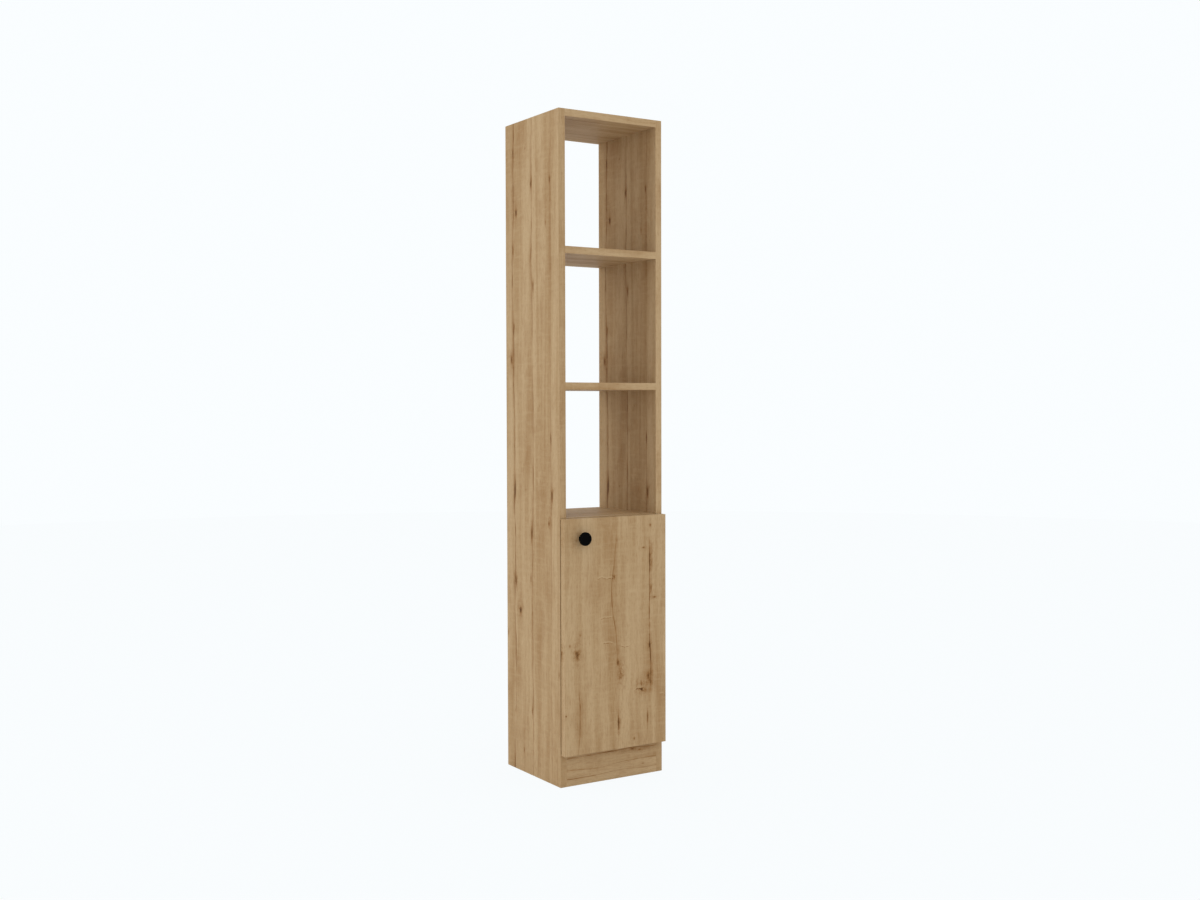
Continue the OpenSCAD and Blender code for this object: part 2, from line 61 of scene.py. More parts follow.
# Span of a seam from end to end of an upright and of a level board: low end, high end and softness
UPRIGHT, ACROSS = (-0.2, 1.9, 0.1), (-9.0, 9.0, 0.1)

# Knots of the sides: distance in front of the rear edge, height, width, length and depth of tone
SIDE_KNOTS = [
    (0.041, 1.624, 0.0045, 0.020, 0.75),
    (0.056, 1.466, 0.0060, 0.014, 1.00),
    (0.040, 1.370, 0.0060, 0.034, 0.60),
    (0.044, 1.169, 0.0045, 0.016, 0.60),
    (0.028, 1.085, 0.0080, 0.018, 0.75),
    (0.046, 0.735, 0.0050, 0.036, 0.70),
    (0.050, 0.500, 0.0060, 0.024, 0.80),
    (0.072, 0.424, 0.0080, 0.013, 1.00),
    (0.134, 1.530, 0.0050, 0.018, 0.75),
    (0.144, 1.268, 0.0050, 0.026, 0.75),
    (0.132, 0.630, 0.0070, 0.030, 0.65),
    (0.128, 0.513, 0.0045, 0.016, 0.60),
    (0.133, 0.169, 0.0050, 0.020, 0.60),
    (0.229, 1.530, 0.0050, 0.016, 0.75),
    (0.208, 1.424, 0.0045, 0.012, 0.60),
    (0.238, 0.735, 0.0055, 0.028, 0.85),
    (0.222, 0.662, 0.0060, 0.012, 0.70),
    (0.089, 0.058, 0.0045, 0.012, 0.70),
    (0.006, 0.358, 0.0045, 0.012, 0.60),
    (0.269, 0.285, 0.0040, 0.010, 0.60),
    (0.105, 1.626, 0.0040, 0.004, 0.60),
    (0.175, 0.961, 0.0035, 0.006, 0.45),
    (0.178, 0.770, 0.0035, 0.006, 0.50),
    (0.103, 0.743, 0.0035, 0.005, 0.60),
    (0.233, 0.875, 0.0040, 0.022, 0.55),
]
# Dark seams between the decor's planks: distance in front of the rear edge, wander, width, depth of tone,
# one bulge as its height, reach and size, and the span as its low end, high end and softness
SIDE_SEAMS = [
    (0.044, 0.009, 0.0013, 0.84, (1.30, 0.16, 0.010), UPRIGHT),
    (0.137, 0.006, 0.0011, 0.74, (0.95, 0.20, -0.006), UPRIGHT),
    (0.233, 0.002, 0.0009, 0.64, (1.10, 0.30, 0.002), UPRIGHT),
    (0.206, 0.006, 0.0010, 0.34, (0.70, 0.20, 0.008), (0.2, 1.5, 0.3)),
]
# Clouds of the sides: distance in front of the rear edge, height, width, length and depth of tone, which is
# pale below 0
SIDE_CLOUDS = [
    (0.168, 0.969, 0.0080, 0.012, -0.50),
    (0.172, 0.777, 0.0080, 0.012, -0.50),
    (0.050, 1.140, 0.0070, 0.014, -0.50),
    (0.081, 0.340, 0.0080, 0.013, -0.50),
    (0.052, 1.500, 0.012, 0.060, 0.22),
    (0.068, 0.440, 0.018, 0.050, 0.30),
    (0.036, 1.060, 0.012, 0.050, 0.25),
    (0.150, 0.600, 0.014, 0.070, 0.20),
    (0.236, 1.450, 0.016, 0.080, 0.18),
    (0.225, 0.700, 0.014, 0.060, 0.20),
    (0.130, 1.300, 0.012, 0.070, 0.18),
]
# Knots of the door: distance from its free edge, distance below its top, width, length and depth of tone
DOOR_KNOTS = [
    (0.147, 0.153, 0.0045, 0.008, 0.70),
    (0.156, 0.060, 0.0020, 0.008, 0.60),
    (0.158, 0.375, 0.0050, 0.010, 0.70),
    (0.166, 0.408, 0.0110, 0.022, 0.40),
    (0.160, 0.531, 0.0045, 0.018, 0.55),
    (0.259, 0.026, 0.0050, 0.007, 0.70),
    (0.238, 0.083, 0.0060, 0.0030, 0.85),
    (0.261, 0.190, 0.0045, 0.018, 0.65),
    (0.270, 0.214, 0.0070, 0.0030, 0.85),
    (0.256, 0.338, 0.0050, 0.010, 0.75),
    (0.252, 0.417, 0.0055, 0.012, 0.80),
    (0.232, 0.450, 0.0060, 0.0045, 1.00),
    (0.250, 0.525, 0.0035, 0.022, 0.60),
    (0.037, 0.345, 0.0065, 0.012, 0.62),
    (0.016, 0.319, 0.0045, 0.006, 0.60),
    (0.003, 0.494, 0.0035, 0.0035, 0.90),
    (0.208, 0.576, 0.0040, 0.006, 0.75),
    (0.045, 0.294, 0.0035, 0.007, 0.50),
]
# Seams of the door: distance from its free edge, wander, width, depth of tone, one bulge as its drop, reach
# and size, and the span as its lower end's drop, its upper end's drop and softness. A drop is the distance
# below the door's top.
DOOR_SEAMS = [
    (0.155, 0.005, 0.0013, 0.78, (0.200, 0.090, -0.016), (0.39, 0.02, 0.06)),
    (0.157, 0.006, 0.0013, 0.48, (0.560, 0.080, 0.003), (0.60, 0.45, 0.07)),
    (0.258, 0.005, 0.0012, 0.88, (0.300, 0.100, -0.004), (0.48, 0.03, 0.08)),
    (0.252, 0.005, 0.0011, 0.45, (0.560, 0.060, -0.003), (0.60, 0.47, 0.05)),
    (0.040, 0.005, 0.0010, 0.68, (0.520, 0.080, 0.004), (0.64, 0.38, 0.08)),
]
# Fine cracks across the door's grain: start and end from its free edge, and distance below its top
DOOR_CHECKS = [
    (0.098, 0.146, 0.257),
    (0.103, 0.147, 0.322),
    (0.165, 0.202, 0.334),
    (0.094, 0.148, 0.156),
    (0.204, 0.236, 0.450),
    (0.284, 0.304, 0.471),
]
# Clouds of the door, with a painted shadow of the knob as the first row: distance from its free edge,
# distance below its top, width, length and depth of tone, which is pale below 0
DOOR_CLOUDS_AND_KNOB_SHADOW = [
    # Painted shadow of the knob: a soft dark patch to the left of the knob, not a cloud in the wood
    (0.030, 0.050, 0.022, 0.030, 0.42),
    (0.036, 0.336, 0.014, 0.036, 0.58),
    (0.236, 0.440, 0.032, 0.026, 0.62),
    (0.262, 0.110, 0.012, 0.055, 0.30),
    (0.170, 0.400, 0.018, 0.048, 0.38),
    (0.255, 0.300, 0.012, 0.060, 0.25),
    (0.040, 0.480, 0.012, 0.070, 0.18),
    (0.160, 0.540, 0.010, 0.040, 0.25),
    (0.193, 0.300, 0.010, 0.170, -0.35),
    (0.094, 0.360, 0.009, 0.200, -0.30),
    (0.220, 0.194, 0.034, 0.006, -0.40),
    (0.225, 0.249, 0.030, 0.005, -0.35),
    (0.120, 0.140, 0.030, 0.012, -0.25),
]
# Line in front of the level boards, from which their seams are placed
SEAM_START = -0.14
# Seams of the level boards: distance behind that line, wander, width, depth of tone, one bulge as its place
# along the board, its reach and its size, and the span
LEVEL_SEAMS = [
    (0.052, 0.006, 0.0013, 0.66, (0.0, 0.1, 0.004), ACROSS),
    (0.093, 0.005, 0.0009, 0.32, (0.0, 0.1, 0.004), ACROSS),
    (0.121, 0.008, 0.0014, 0.55, (0.05, 0.1, -0.004), ACROSS),
    (0.203, 0.007, 0.0012, 0.66, (-0.05, 0.1, 0.005), ACROSS),
    (0.236, 0.006, 0.0010, 0.40, (-0.05, 0.1, 0.005), ACROSS),
]
# Seams of the plinth: height, wander, width, depth of tone, one bulge as above, and the span
PLINTH_SEAMS = [
    (0.018, 0.004, 0.0010, 0.65, (0.02, 0.05, 0.004), ACROSS),
    (0.042, 0.005, 0.0009, 0.60, (-0.05, 0.05, -0.004), ACROSS),
    (0.071, 0.004, 0.0010, 0.65, (0.06, 0.04, 0.003), ACROSS),
]
# Knots and clouds of the plinth: height, place along the board, width, length and depth of tone
PLINTH_KNOTS = [
    (0.070, 0.062, 0.003, 0.009, 0.65),
    (0.066, 0.085, 0.003, 0.008, 0.55),
    (0.028, 0.095, 0.002, 0.006, 0.60),
]
PLINTH_CLOUDS = [
    (0.068, 0.060, 0.008, 0.060, 0.30),
    (0.030, -0.050, 0.010, 0.060, 0.20),
]
# How far the decor is moved across and along the grain: from one level board to the next, and for the edging
BOARD_STEP = (0.21, 0.63)
SIDE_EDGING_SHIFT, SHELF_EDGING_SHIFT = (0.731, 0.4), (0.377, 0.9)

# Plated and cast metals: base tone, dull tone, roughness and fineness of the drawn lines along each axis
METALS = {
    "nickel_plate": ((0.66, 0.65, 0.63), (0.50, 0.49, 0.47), 0.24, (900.0, 60.0, 900.0)),
    "zinc_casting": ((0.52, 0.53, 0.54), (0.36, 0.37, 0.38), 0.42, (400.0, 400.0, 400.0)),
    "zinc_plate": ((0.60, 0.61, 0.63), (0.47, 0.48, 0.50), 0.30, (1200.0, 80.0, 80.0)),
}
# Moulded and fibrous skins: base tone, lifted tone, roughness and grain in cells per metre
BEECH = ((0.60, 0.42, 0.24), (0.48, 0.32, 0.17), 0.6, 500.0)
BUMPER_GEL = ((0.72, 0.75, 0.78), (0.80, 0.82, 0.84), 0.22, 900.0)
WHITE_FRONT = ((0.74, 0.74, 0.72), (0.66, 0.66, 0.63), 0.45, 420.0)
BROWN_REAR = ((0.235, 0.135, 0.066), (0.32, 0.195, 0.10), 0.72, 700.0)
# Share of light that passes through the bumpers' gel, and how much the gel bends it
GEL_CLARITY, GEL_BEND = 0.6, 1.45
# Knob's lacquer: how much paler handled places are, roughness, grain in cells per metre and gloss
HANDLED, LACQUER_ROUGH, LACQUER_GRAIN, LACQUER_GLOSS = 2.2, 0.48, 2600.0, 0.03
# Depth of the relief of plated and lacquered skins, and of fibrous ones, in metres
FINE_RELIEF, FIBROUS_RELIEF = 0.00002, 0.00008

# Turned knob: corners of the disc it starts from, taper of its dish, merging distance, the rounding's
# segments, and the angles from which an edge is rounded and is shaded sharp
KNOB_CORNERS, DISH_TAPER, MERGE = 128, 0.94, 0.000005
ROUND_SEGMENTS, ROUND_ANGLE, SHARP_ANGLE = 5, math.radians(20.0), math.radians(35.0)

# Floor: corners, radius, drop below the cabinet, share of its bright tone to the camera, and its shaded tone
FLOOR_CORNERS, FLOOR_RADIUS, FLOOR_DROP = 96, 9.0, 0.0004
FLOOR_GLOW, FLOOR_TONE = 0.95, (0.88, 0.88, 0.88)
# Lamps: places, the point they aim at and their diameter, in metres
LEFT_LAMP, FRONT_LAMP = (-3.2, 0.9, 1.7), (0.9, -3.6, 1.9)
LAMP_AIM, LAMP_SIZE = (0.0, 0.0, 0.85), 2.4
# Tone of the light from all round, and the width of the camera's sensor in millimetres
WHITE, SENSOR_WIDTH = (1.0, 1.0, 1.0), 36.0


class OakSettings(bpy.types.PropertyGroup):
    light: FloatVectorProperty(
        name="Light wood",
        description="Palest wood of the decor",
        subtype="COLOR",
        default=(0.536, 0.384, 0.216),
    )
    middle: FloatVectorProperty(
        name="Middle wood",
        description="Main tone of the decor",
        subtype="COLOR",
        default=(0.442, 0.294, 0.150),
    )
    dark: FloatVectorProperty(
        name="Dark wood",
        description="Tone of the seams",
        subtype="COLOR",
        default=(0.278, 0.132, 0.040),
    )
    heart: FloatVectorProperty(
        name="Knot heart",
        description="Tone of the middle of a knot",
        subtype="COLOR",
        default=(0.085, 0.038, 0.014),
    )
    relief: FloatProperty(
        name="Pore depth", description="Depth of the embossed pores", subtype="DISTANCE", default=0.00012
    )


class KnobSettings(bpy.types.PropertyGroup):
    black: FloatVectorProperty(
        name="Black", description="Colour of the knob", subtype="COLOR", default=(0.0011, 0.0011, 0.0013)
    )
    foot: FloatProperty(name="Foot", description="Foot's radius as a share of the head's", default=0.50)
    neck: FloatProperty(name="Neck", description="Neck's radius as a share of the head's", default=0.41)
    dish: FloatProperty(name="Dish", description="Dish's radius as a share of the head's", default=0.78)
    foot_step: FloatProperty(
        name="Foot height", description="Height of the foot", subtype="DISTANCE", default=0.0015
    )
    flare: FloatProperty(name="Flare", description="Length of the flare", subtype="DISTANCE", default=0.005)
    rim: FloatProperty(
        name="Rim", description="Thickness of the head's rim", subtype="DISTANCE", default=0.006
    )
    dish_depth: FloatProperty(
        name="Dish depth", description="Depth of the dish", subtype="DISTANCE", default=0.0006
    )
    edge_round: FloatProperty(
        name="Rounding", description="Rounding of the edges", subtype="DISTANCE", default=0.0012
    )


class StudioSettings(bpy.types.PropertyGroup):
    place: FloatVectorProperty(
        name="Camera place",
        description="Where the camera stands",
        subtype="XYZ",
        default=(-1.90735, -3.06404, 0.96029),
    )
    yaw: FloatProperty(
        name="Yaw",
        description="Turn to the right of straight ahead",
        subtype="ANGLE",
        default=math.radians(32.4226),
    )
    pitch: FloatProperty(
        name="Pitch", description="Tilt upwards", subtype="ANGLE", default=math.radians(-1.8282)
    )
    roll: FloatProperty(
        name="Roll", description="Roll of the camera", subtype="ANGLE", default=math.radians(-0.1358)
    )
    lens: FloatProperty(
        name="Lens", description="Focal length on a 36 mm sensor", subtype="DISTANCE_CAMERA", default=41.212
    )
    ambient: FloatProperty(name="Ambient", description="Light from all round", default=0.90, min=0.0)
    left_lamp: FloatProperty(
        name="Left lamp", description="Power of the lamp on the left", subtype="POWER", default=11.0
    )
    front_lamp: FloatProperty(
        name="Front lamp", description="Power of the front lamp", subtype="POWER", default=2.0
    )
    white: FloatVectorProperty(
        name="Background", description="Colour of the backdrop", subtype="COLOR", default=(0.955, 0.985, 1.0)
    )


# Spacing of the nodes in the editor: column width, row height and rows
EDITOR_GRID = (40, 60, 12)
# First and second input and the output of a mix node, by the kind of what it mixes
MIX_SOCKETS = {"FLOAT": (2, 3, 0), "VECTOR": (4, 5, 1), "RGBA": (6, 7, 2)}
# What a noise varies about, and the step between the noises of two seeds
NOISE_MIDDLE, SEED_STEP = 0.5, 137.0


class Tree:
    """Short words for wiring a node tree."""

    def __init__(self, tree):
        self.tree = tree
        self.column = 0

    def add(self, kind, **settings):
        node = self.tree.nodes.new(kind)
        width, height, rows = EDITOR_GRID
        node.location = (self.column * width, -(self.column % rows) * height)
        self.column += 1
        for name, value in settings.items():
            setattr(node, name, value)
        return node

    def put(self, socket, value):
        if isinstance(value, bpy.types.NodeSocket):
            self.tree.links.new(value, socket)
        else:
            socket.default_value = value

    def fill(self, node, *values):
        """Puts values into a node's inputs, in their order."""
        for socket, value in zip(node.inputs, values):
            self.put(socket, value)
        return node.outputs

    def maths(self, operation, *values, clamp=False):
        return self.fill(self.add("ShaderNodeMath", operation=operation, use_clamp=clamp), *values)[0]

    def plus(self, first, second, clamp=False):
        return self.maths("ADD", first, second, clamp=clamp)

    def minus(self, first, second):
        return self.maths("SUBTRACT", first, second)

    def times(self, first, second):
        return self.maths("MULTIPLY", first, second)

    def fall(self, value, rate):
        """1 where value is 0, and e to the power of value times rate elsewhere."""
        return self.maths("EXPONENT", self.times(value, rate))

    def bell(self, distance, width):
        """1 at distance 0, falling away smoothly over width."""
        ratio = self.maths("DIVIDE", distance, width)
        return self.fall(self.times(ratio, ratio), -1.0)

    def ramp(self, value, low, high, to_low=0.0, to_high=1.0):
        node = self.add("ShaderNodeMapRange", clamp=True, interpolation_type="SMOOTHSTEP")
        return self.fill(node, value, low, high, to_low, to_high)[0]

    def span(self, value, low, high, soft):
        """1 from low to high, with soft ends."""
        begun = self.ramp(value, low, self.plus(low, soft))
        ended = self.ramp(value, self.minus(high, soft), high, 1.0, 0.0)
        return self.times(begun, ended)

    def vector_maths(self, operation, first, second):
        return self.fill(self.add("ShaderNodeVectorMath", operation=operation), first, second)[0]

    def parts(self, vector):
        return self.fill(self.add("ShaderNodeSeparateXYZ"), vector)

    def vector(self, x, y=0.0):
        return self.fill(self.add("ShaderNodeCombineXYZ"), x, y)[0]

    def mix(self, share, first, second, kind="RGBA"):
        node = self.add("ShaderNodeMix", data_type=kind)
        low, high, result = MIX_SOCKETS[kind]
        for number, value in ((0, share), (low, first), (high, second)):
            self.put(node.inputs[number], value)
        return node.outputs[result]

    def noise(self, place, scale, detail, rough, dimensions="3D"):
        node = self.add("ShaderNodeTexNoise", noise_dimensions=dimensions)
        start = "W" if dimensions == "1D" else "Vector"
        for name, value in ((start, place), ("Scale", scale), ("Detail", detail), ("Roughness", rough)):
            self.put(node.inputs[name], value)
        return node.outputs["Fac"]

    def noise_along(self, value, seed, cells, detail, rough):
        """Noise that changes along one value only, different for each seed."""
        place = self.plus(self.times(value, cells), self.times(seed, SEED_STEP))
        return self.noise(place, 1.0, detail, rough, "1D")

    def grain_noise(self, u, v, across, along, detail, rough):
        """Flat noise with so many cells per metre across the grain and along it."""
        place = self.vector(self.times(u, across), self.times(v, along))
        return self.noise(place, 1.0, detail, rough, "2D")

    def centred(self, noise):
        """Noise moved so that it varies about 0."""
        return self.minus(noise, NOISE_MIDDLE)

    def seen_directly(self):
        """1 where a backdrop is met by the camera, by a reflection or through clear material."""
        path = self.add("ShaderNodeLightPath").outputs
        seen = self.maths("MAXIMUM", path["Is Camera Ray"], path["Is Glossy Ray"])
        return self.maths("MAXIMUM", seen, path["Is Transmission Ray"])

    def mix_shaders(self, share, first, second):
        return self.fill(self.add("ShaderNodeMixShader"), share, first.outputs[0], second.outputs[0])[0]


def opaque(tone):
    return (*tone, 1.0)


def new_group(name, inputs, outputs):
    """An empty shader group with named sockets, its wiring helper and its input and output sockets."""
    tree = bpy.data.node_groups.new(name, "ShaderNodeTree")
    for way, sockets in (("INPUT", inputs), ("OUTPUT", outputs)):
        for label, kind in sockets.items():
            tree.interface.new_socket(name=label, in_out=way, socket_type=kind)
    wire = Tree(tree)
    return wire, wire.add("NodeGroupInput").outputs, wire.add("NodeGroupOutput").inputs


def use_group(wire, name, **values):
    node = wire.add("ShaderNodeGroup")
    node.node_tree = bpy.data.node_groups[name]
    for label, value in values.items():
        wire.put(node.inputs[label], value)
    return node.outputs


VALUE, PLACE, TINT = "NodeSocketFloat", "NodeSocketVector", "NodeSocketColor"
# Sockets that several groups share
FINISH = {"Color": TINT, "Roughness": VALUE, "Height": VALUE}
TONED = {"Grain": PLACE, "Tone": VALUE}
SPOT = {**TONED, "Centre": PLACE, "Width": VALUE, "Length": VALUE, "Depth": VALUE}
# Part of a face's normal along an axis above which the face counts as facing that way
FACING = 0.7


def build_board_face():
    """Unrolls a board: U runs across the grain and V along it, on whichever face is met."""
    inputs = {"Point": PLACE, "Facing": PLACE, "Level": VALUE, "Shift": PLACE}
    wire, given, out = new_group("Board face", inputs, {"Grain": PLACE})
    x, y, z = wire.parts(given["Point"])
    nx, _, nz = wire.parts(given["Facing"])
    on_side = wire.maths("GREATER_THAN", wire.maths("ABSOLUTE", nx), FACING)
    on_top = wire.maths("GREATER_THAN", wire.maths("ABSOLUTE", nz), FACING)
    upright = wire.vector(wire.mix(on_side, x, y, "FLOAT"), z)
    level = wire.vector(wire.mix(on_top, z, y, "FLOAT"), x)
    choice = wire.mix(given["Level"], upright, level, "VECTOR")
    wire.put(out["Grain"], wire.vector_maths("ADD", choice, given["Shift"]))


def from_centre(wire, given):
    """How far the grain lies from a spot's centre.

    Returns the offset across the grain, both offsets as shares of the spot's size, and their squares' sum.
    """
    across, along, _ = wire.parts(wire.vector_maths("SUBTRACT", given["Grain"], given["Centre"]))
    a = wire.maths("DIVIDE", across, given["Width"])
    b = wire.maths("DIVIDE", along, given["Length"])
    return across, a, b, wire.plus(wire.times(a, a), wire.times(b, b))


# A knot: size of its core and how much noise tears it, how fast its heart, halo and reach fall away, the
# shares of heart and halo, its rays' number, edge and strength, and how far it pushes the fibres aside
CORE_SIZE, CORE_TEAR = 0.30, 1.4
HEART_FALL, HALO_FALL, REACH_FALL = -2.2, -0.85, -0.12
HEART_SHARE, HALO_SHARE = 0.55, 0.45
RAYS, RAY_RAMP, RAY_STRENGTH = 5.0, (0.72, 1.0), 0.12
FIBRE_PUSH = -0.45


def build_knot():
    """One knot: darkens the wood at its place and pushes the fibres aside."""
    wire, given, out = new_group("Oak knot", {**SPOT, "Ragged": VALUE}, TONED)
    across, a, b, square = from_centre(wire, given)
    core = wire.times(square, wire.plus(CORE_SIZE, wire.times(given["Ragged"], CORE_TEAR)))
    heart = wire.fall(core, HEART_FALL)
    halo = wire.fall(wire.maths("SQRT", core), HALO_FALL)
    reach = wire.fall(square, REACH_FALL)
    rays = wire.maths("SINE", wire.times(wire.maths("ARCTAN2", b, a), RAYS))
    rays = wire.times(wire.ramp(rays, *RAY_RAMP), wire.times(reach, RAY_STRENGTH))
    shade = wire.plus(wire.times(heart, HEART_SHARE), wire.times(halo, HALO_SHARE))
    shade = wire.times(wire.plus(shade, rays), given["Depth"])
    wire.put(out["Tone"], wire.plus(given["Tone"], shade))
    push = wire.times(wire.times(across, reach), FIBRE_PUSH)
    wire.put(out["Grain"], wire.vector_maths("ADD", given["Grain"], wire.vector(push)))


# Noises along a seam: cells per metre, detail and roughness
SWING, KINK, SWELL = (3.6, 2.0, 0.45), (24.0, 3.0, 0.55), (16.0, 2.0, 0.6)
BREAKS, FADING = (9.0, 3.0, 0.6), (5.0, 2.0, 0.5)
# How far a seam swings and kinks as a share of its wander, and what its noises turn into
SWING_SIZE, KINK_SIZE = 2.6, 0.45
SWELL_RAMP, BREAKS_RAMP = (0.35, 0.75, 0.7, 1.7), (0.34, 0.62, 0.55, 1.0)
FADING_RAMP = (0.38, 0.66, 0.12, 0.46)
# Share of a seam's dark line in its tone, and the offset and width of the brown veil beside it
LINE_SHARE, VEIL_OFFSET, VEIL_WIDTH = 0.75, 0.0035, 0.0075


def build_seam():
    """A wandering dark seam along the grain, thick and thin, broken in places."""
    sizes = {"Place": VALUE, "Wander": VALUE, "Width": VALUE, "Depth": VALUE}
    inputs = {**TONED, **sizes, "Bulge": PLACE, "Span": PLACE}
    wire, given, out = new_group("Oak seam", inputs, {"Tone": VALUE})
    u, v, _ = wire.parts(given["Grain"])
    middle, reach, size = wire.parts(given["Bulge"])
    seed = given["Place"]
    swing = wire.centred(wire.noise_along(v, seed, *SWING))
    kink = wire.centred(wire.noise_along(v, seed, *KINK))
    path = wire.plus(wire.times(swing, SWING_SIZE), wire.times(kink, KINK_SIZE))
    path = wire.plus(given["Place"], wire.times(path, given["Wander"]))
    bulge = wire.times(wire.bell(wire.minus(v, middle), reach), size)
    off = wire.minus(u, wire.plus(path, bulge))
    swell = wire.ramp(wire.noise_along(v, seed, *SWELL), *SWELL_RAMP)
    line = wire.bell(off, wire.times(given["Width"], swell))
    veil = wire.bell(wire.minus(off, VEIL_OFFSET), VEIL_WIDTH)
    broken = wire.ramp(wire.noise_along(v, seed, *BREAKS), *BREAKS_RAMP)
    fade = wire.ramp(wire.noise_along(v, seed, *FADING), *FADING_RAMP)
    shade = wire.times(wire.times(line, broken), LINE_SHARE)
    shade = wire.plus(shade, wire.times(veil, fade))
    shade = wire.times(wire.span(v, *wire.parts(given["Span"])), shade)
    wire.put(out["Tone"], wire.plus(given["Tone"], wire.times(shade, given["Depth"])))


def build_cloud():
    """A soft cloud with torn edges, drawn out along the grain: brown, or pale where its depth is below 0."""
    wire, given, out = new_group("Oak cloud", {**SPOT, "Torn": VALUE}, {"Tone": VALUE})
    soft = wire.fall(from_centre(wire, given)[-1], -1.0)
    shade = wire.times(wire.times(soft, given["Torn"]), given["Depth"])
    wire.put(out["Tone"], wire.plus(given["Tone"], shade))


# A crack across the grain: noise of its bend as cells per metre, detail and roughness, how far it bends, the
# softness of its ends, where its line is torn, the line's width and share, and the pale lip's offset, width
# and share
BEND, BEND_SIZE, CRACK_END, CRACK_TORN = (45.0, 2.0, 0.5), 0.012, 0.008, (0.40, 0.58)
CRACK_WIDTH, CRACK_SHARE = 0.0011, 0.75
LIP_OFFSET, LIP_WIDTH, LIP_SHARE = 0.0028, 0.0022, -0.30


def build_check():
    """A short fine crack across the grain, with a pale lip."""
    inputs = {**TONED, "Start": VALUE, "End": VALUE, "Height": VALUE, "Ragged": VALUE}
    wire, given, out = new_group("Cross check", inputs, {"Tone": VALUE})
    u, v, _ = wire.parts(given["Grain"])
    bend = wire.times(wire.centred(wire.noise_along(u, given["Height"], *BEND)), BEND_SIZE)
    off = wire.minus(wire.minus(v, given["Height"]), bend)
    inside = wire.span(u, given["Start"], given["End"], CRACK_END)
    torn = wire.ramp(given["Ragged"], *CRACK_TORN)
    dark = wire.times(wire.bell(off, CRACK_WIDTH), CRACK_SHARE)
    pale = wire.times(wire.bell(wire.minus(off, LIP_OFFSET), LIP_WIDTH), LIP_SHARE)
    shade = wire.times(wire.plus(wire.times(dark, torn), pale), inside)
    wire.put(out["Tone"], wire.plus(given["Tone"], shade))


# Noises over the grain: cells per metre across it and along it, detail and roughness
DRIFT, DRIFT_SIZE = (7.0, 2.2, 3.0, 0.5), 0.030
BAND, BAND_RAMP = (26.0, 0.9, 2.0, 0.55), (0.36, 0.66)
# Layers of the print: noise, the values at which a layer begins and is full, its share and its tone
LAYERS = {
    "ring": ((120.0, 2.6, 3.0, 0.6), (0.46, 0.80), 0.13, "Dark"),
    "streak": ((210.0, 5.0, 3.0, 0.6), (0.58, 0.80), 0.26, "Dark"),
    "fibre": ((430.0, 17.0, 4.0, 0.7), (0.46, 0.74), 0.30, "Dark"),
    "fleck": ((330.0, 70.0, 3.0, 0.65), (0.50, 0.74), 0.28, "Dark"),
    "cloud": ((14.0, 7.0, 4.0, 0.6), (0.46, 0.78), 0.32, "Dark"),
    "flame": ((16.0, 95.0, 3.0, 0.6), (0.46, 0.74), 0.30, "Light"),
    "pore": ((1900.0, 60.0, 2.0, 0.5), (0.60, 0.74), 0.20, "Dark"),
}
# How a tone turns into dark wood and into a knot's heart, and how strongly one below 0 turns into light wood
DARK_RAMP, HEART_RAMP, PALE_GAIN = (0.0, 0.80, 0.0, 0.95), (0.45, 1.15, 0.0, 0.92), -2.0
# Roughness of the decor, and what fibres and pores add to it
OAK_ROUGH, FIBRE_ROUGH, PORE_ROUGH = 0.50, 0.10, 0.12
# Pressed relief: noise of the fibres, how high they stand and how deep the pores are, as shares of its depth
RELIEF_FIBRE, FIBRE_HEIGHT, PORE_DEPTH = (430.0, 17.0, 3.0, 0.7), 0.35, 0.6


def build_oak():
    """The decor itself: bands, rings, fibres, pores and mottling, darkened by the tone that is handed in."""
    inputs = {**TONED, "Light": TINT, "Middle": TINT, "Dark": TINT, "Heart": TINT}
    wire, given, out = new_group("Knotty oak", inputs, {"Color": TINT, "Roughness": VALUE})
    u, v, _ = wire.parts(given["Grain"])
    drift = wire.times(wire.centred(wire.grain_noise(u, v, *DRIFT)), DRIFT_SIZE)
    u = wire.plus(u, drift)
    warmth = wire.ramp(wire.grain_noise(u, v, *BAND), *BAND_RAMP)
    colour = wire.mix(warmth, given["Light"], given["Middle"])
    noises, masks = {}, {}
    for layer, (noise, edges, share, tint) in LAYERS.items():
        noises[layer] = wire.grain_noise(u, v, *noise)
        masks[layer] = wire.ramp(noises[layer], *edges)
        colour = wire.mix(wire.times(masks[layer], share), colour, given[tint])
    tone = given["Tone"]
    colour = wire.mix(wire.ramp(tone, *DARK_RAMP), colour, given["Dark"])
    colour = wire.mix(wire.ramp(tone, *HEART_RAMP), colour, given["Heart"])
    pale = wire.times(wire.maths("MINIMUM", tone, 0.0), PALE_GAIN)
    wire.put(out["Color"], wire.mix(pale, colour, given["Light"]))
    rough = wire.plus(OAK_ROUGH, wire.times(noises["fibre"], FIBRE_ROUGH))
    wire.put(out["Roughness"], wire.plus(rough, wire.times(masks["pore"], PORE_ROUGH)))


def build_relief():
    """The pressed-in pores of the decor's surface, which run straight past the printed knots."""
    wire, given, out = new_group("Pressed pores", {"Grain": PLACE}, {"Height": VALUE})
    u, v, _ = wire.parts(given["Grain"])
    noise, edges, _, _ = LAYERS["pore"]
    fibre = wire.grain_noise(u, v, *RELIEF_FIBRE)
    pores = wire.times(wire.ramp(wire.grain_noise(u, v, *noise), *edges), PORE_DEPTH)
    wire.put(out["Height"], wire.minus(wire.times(fibre, FIBRE_HEIGHT), pores))


